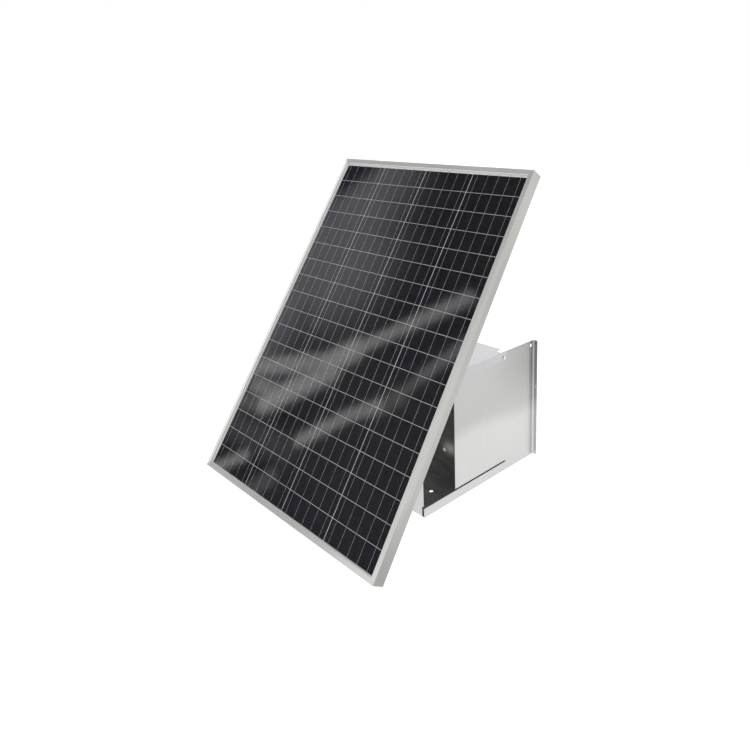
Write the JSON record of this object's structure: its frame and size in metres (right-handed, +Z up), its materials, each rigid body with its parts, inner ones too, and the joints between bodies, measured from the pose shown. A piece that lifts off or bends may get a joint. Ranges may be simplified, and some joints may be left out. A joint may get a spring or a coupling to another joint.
{
  "type": "solar fence energizer station",
  "caption": "Solar module on the hinged lid of a folded sheet-steel box with the fence energizer, charge controller and battery inside.",
  "frame": {"origin": "centre of the footprint's box, on the ground under the housing", "axes": "+Z up, +Y from the solar module to the open back, +X to the right seen from the module's side"},
  "size_m": [0.67, 0.6442, 0.7759],
  "materials": {
    "zinc_sheet": "galvanised sheet, satin",
    "zinc_inner": "galvanised sheet in shade, dull",
    "anodised": "satin anodised",
    "zinc_fastener": "zinc plated",
    "solar_glass": "smooth",
    "silicon": "dark blue-black cells",
    "silver_ribbon": "tinned",
    "white_sheet": "matt",
    "black_plastic": "fine texture",
    "grey_plastic": "fine texture",
    "cover_yellow": "moulded, satin",
    "red_plastic": "moulded",
    "green_plastic": "moulded",
    "blue_plastic": "moulded",
    "light_button": "moulded",
    "gasket_rubber": "matt",
    "brass_metal": "turned",
    "copper_metal": "drawn",
    "ferrite": "matt",
    "board_green": "solder mask",
    "lead_metal": "dull",
    "display_glass": "clear",
    "red_sheath": "cable sheath",
    "black_sheath": "cable sheath"
  },
  "bodies": {
    "housing": {"housing_shell": "zinc_sheet", "front_plate": "zinc_sheet", "partition": "zinc_inner", "sheet_rivets": "zinc_fastener", "hinge_pins": "zinc_fastener", "pin_retainers": "zinc_fastener", "energizer_shell": "grey_plastic", "energizer_gasket": "gasket_rubber", "energizer_cover": "cover_yellow", "energizer_screws": "zinc_fastener", "circuit_board": "board_green", "transformer_core": "ferrite", "transformer_coil": "copper_metal", "storage_capacitors": "blue_plastic", "selector_switch": "black_plastic", "status_lens": "red_plastic", "terminal_studs": "brass_metal", "controller_base": "black_plastic", "controller_cover": "blue_plastic", "controller_window": "display_glass", "terminal_block": "green_plastic", "terminal_screws": "zinc_fastener", "battery_tray": "zinc_sheet", "battery_case": "grey_plastic", "battery_cover": "black_plastic", "battery_posts": "lead_metal", "battery_lugs": "copper_metal", "battery_bolts": "zinc_fastener", "lead_red": "red_sheath", "lead_black": "black_sheath", "lead_supply": "black_sheath"},
    "lid_and_module": {"lid": "zinc_sheet", "bracket_left": "zinc_sheet", "bracket_right": "zinc_sheet", "lid_bolts": "zinc_fastener", "lid_nuts": "zinc_fastener", "rail_upper": "zinc_sheet", "rail_lower": "zinc_sheet", "rail_bolts": "zinc_fastener", "rail_nuts": "zinc_fastener", "frame_left": "anodised", "frame_right": "anodised", "frame_top": "anodised", "frame_bottom": "anodised", "corner_keys": "anodised", "glass": "solar_glass", "solar_cells": "silicon", "cell_ribbons": "silver_ribbon", "backsheet": "white_sheet", "junction_box": "black_plastic", "junction_lid": "black_plastic", "cable_glands": "grey_plastic"},
    "selector_knob_body": {"selector_knob": "black_plastic"},
    "fence_knob_body": {"fence_knob": "red_plastic"},
    "earth_knob_body": {"earth_knob": "green_plastic"},
    "button_left_body": {"button_left": "light_button"},
    "button_right_body": {"button_right": "light_button"},
    "handle_body": {"battery_handle": "black_plastic"}
  },
  "joints": [
    {"name": "lid_hinge", "type": "hinge", "parent": "housing", "child": "lid_and_module", "pos_m": [0, 0.19805, 0.306], "axis": [-1, 0, 0], "range_deg": [0, 60]},
    {"name": "selector_turn", "type": "hinge", "parent": "housing", "child": "selector_knob_body", "pos_m": [0.118, 0.14705, 0.24], "axis": [0, -1, 0], "range_deg": [0, 150]},
    {"name": "fence_knob_turn", "type": "hinge", "parent": "housing", "child": "fence_knob_body", "pos_m": [0.073, 0.15605, 0.15], "axis": [0, 1, 0], "range_deg": [0, 360]},
    {"name": "earth_knob_turn", "type": "hinge", "parent": "housing", "child": "earth_knob_body", "pos_m": [0.163, 0.15605, 0.15], "axis": [0, 1, 0], "range_deg": [0, 360]},
    {"name": "button_left_press", "type": "slide", "parent": "housing", "child": "button_left_body", "axis": [0, -1, 0], "range_m": [0, 0.0012], "stiffness_N_per_m": 400},
    {"name": "button_right_press", "type": "slide", "parent": "housing", "child": "button_right_body", "axis": [0, -1, 0], "range_m": [0, 0.0012], "stiffness_N_per_m": 400},
    {"name": "handle_swing", "type": "hinge", "parent": "housing", "child": "handle_body", "pos_m": [-0.112, 0.17505, 0.151], "axis": [1, 0, 0], "range_deg": [0, 90]}
  ]
}
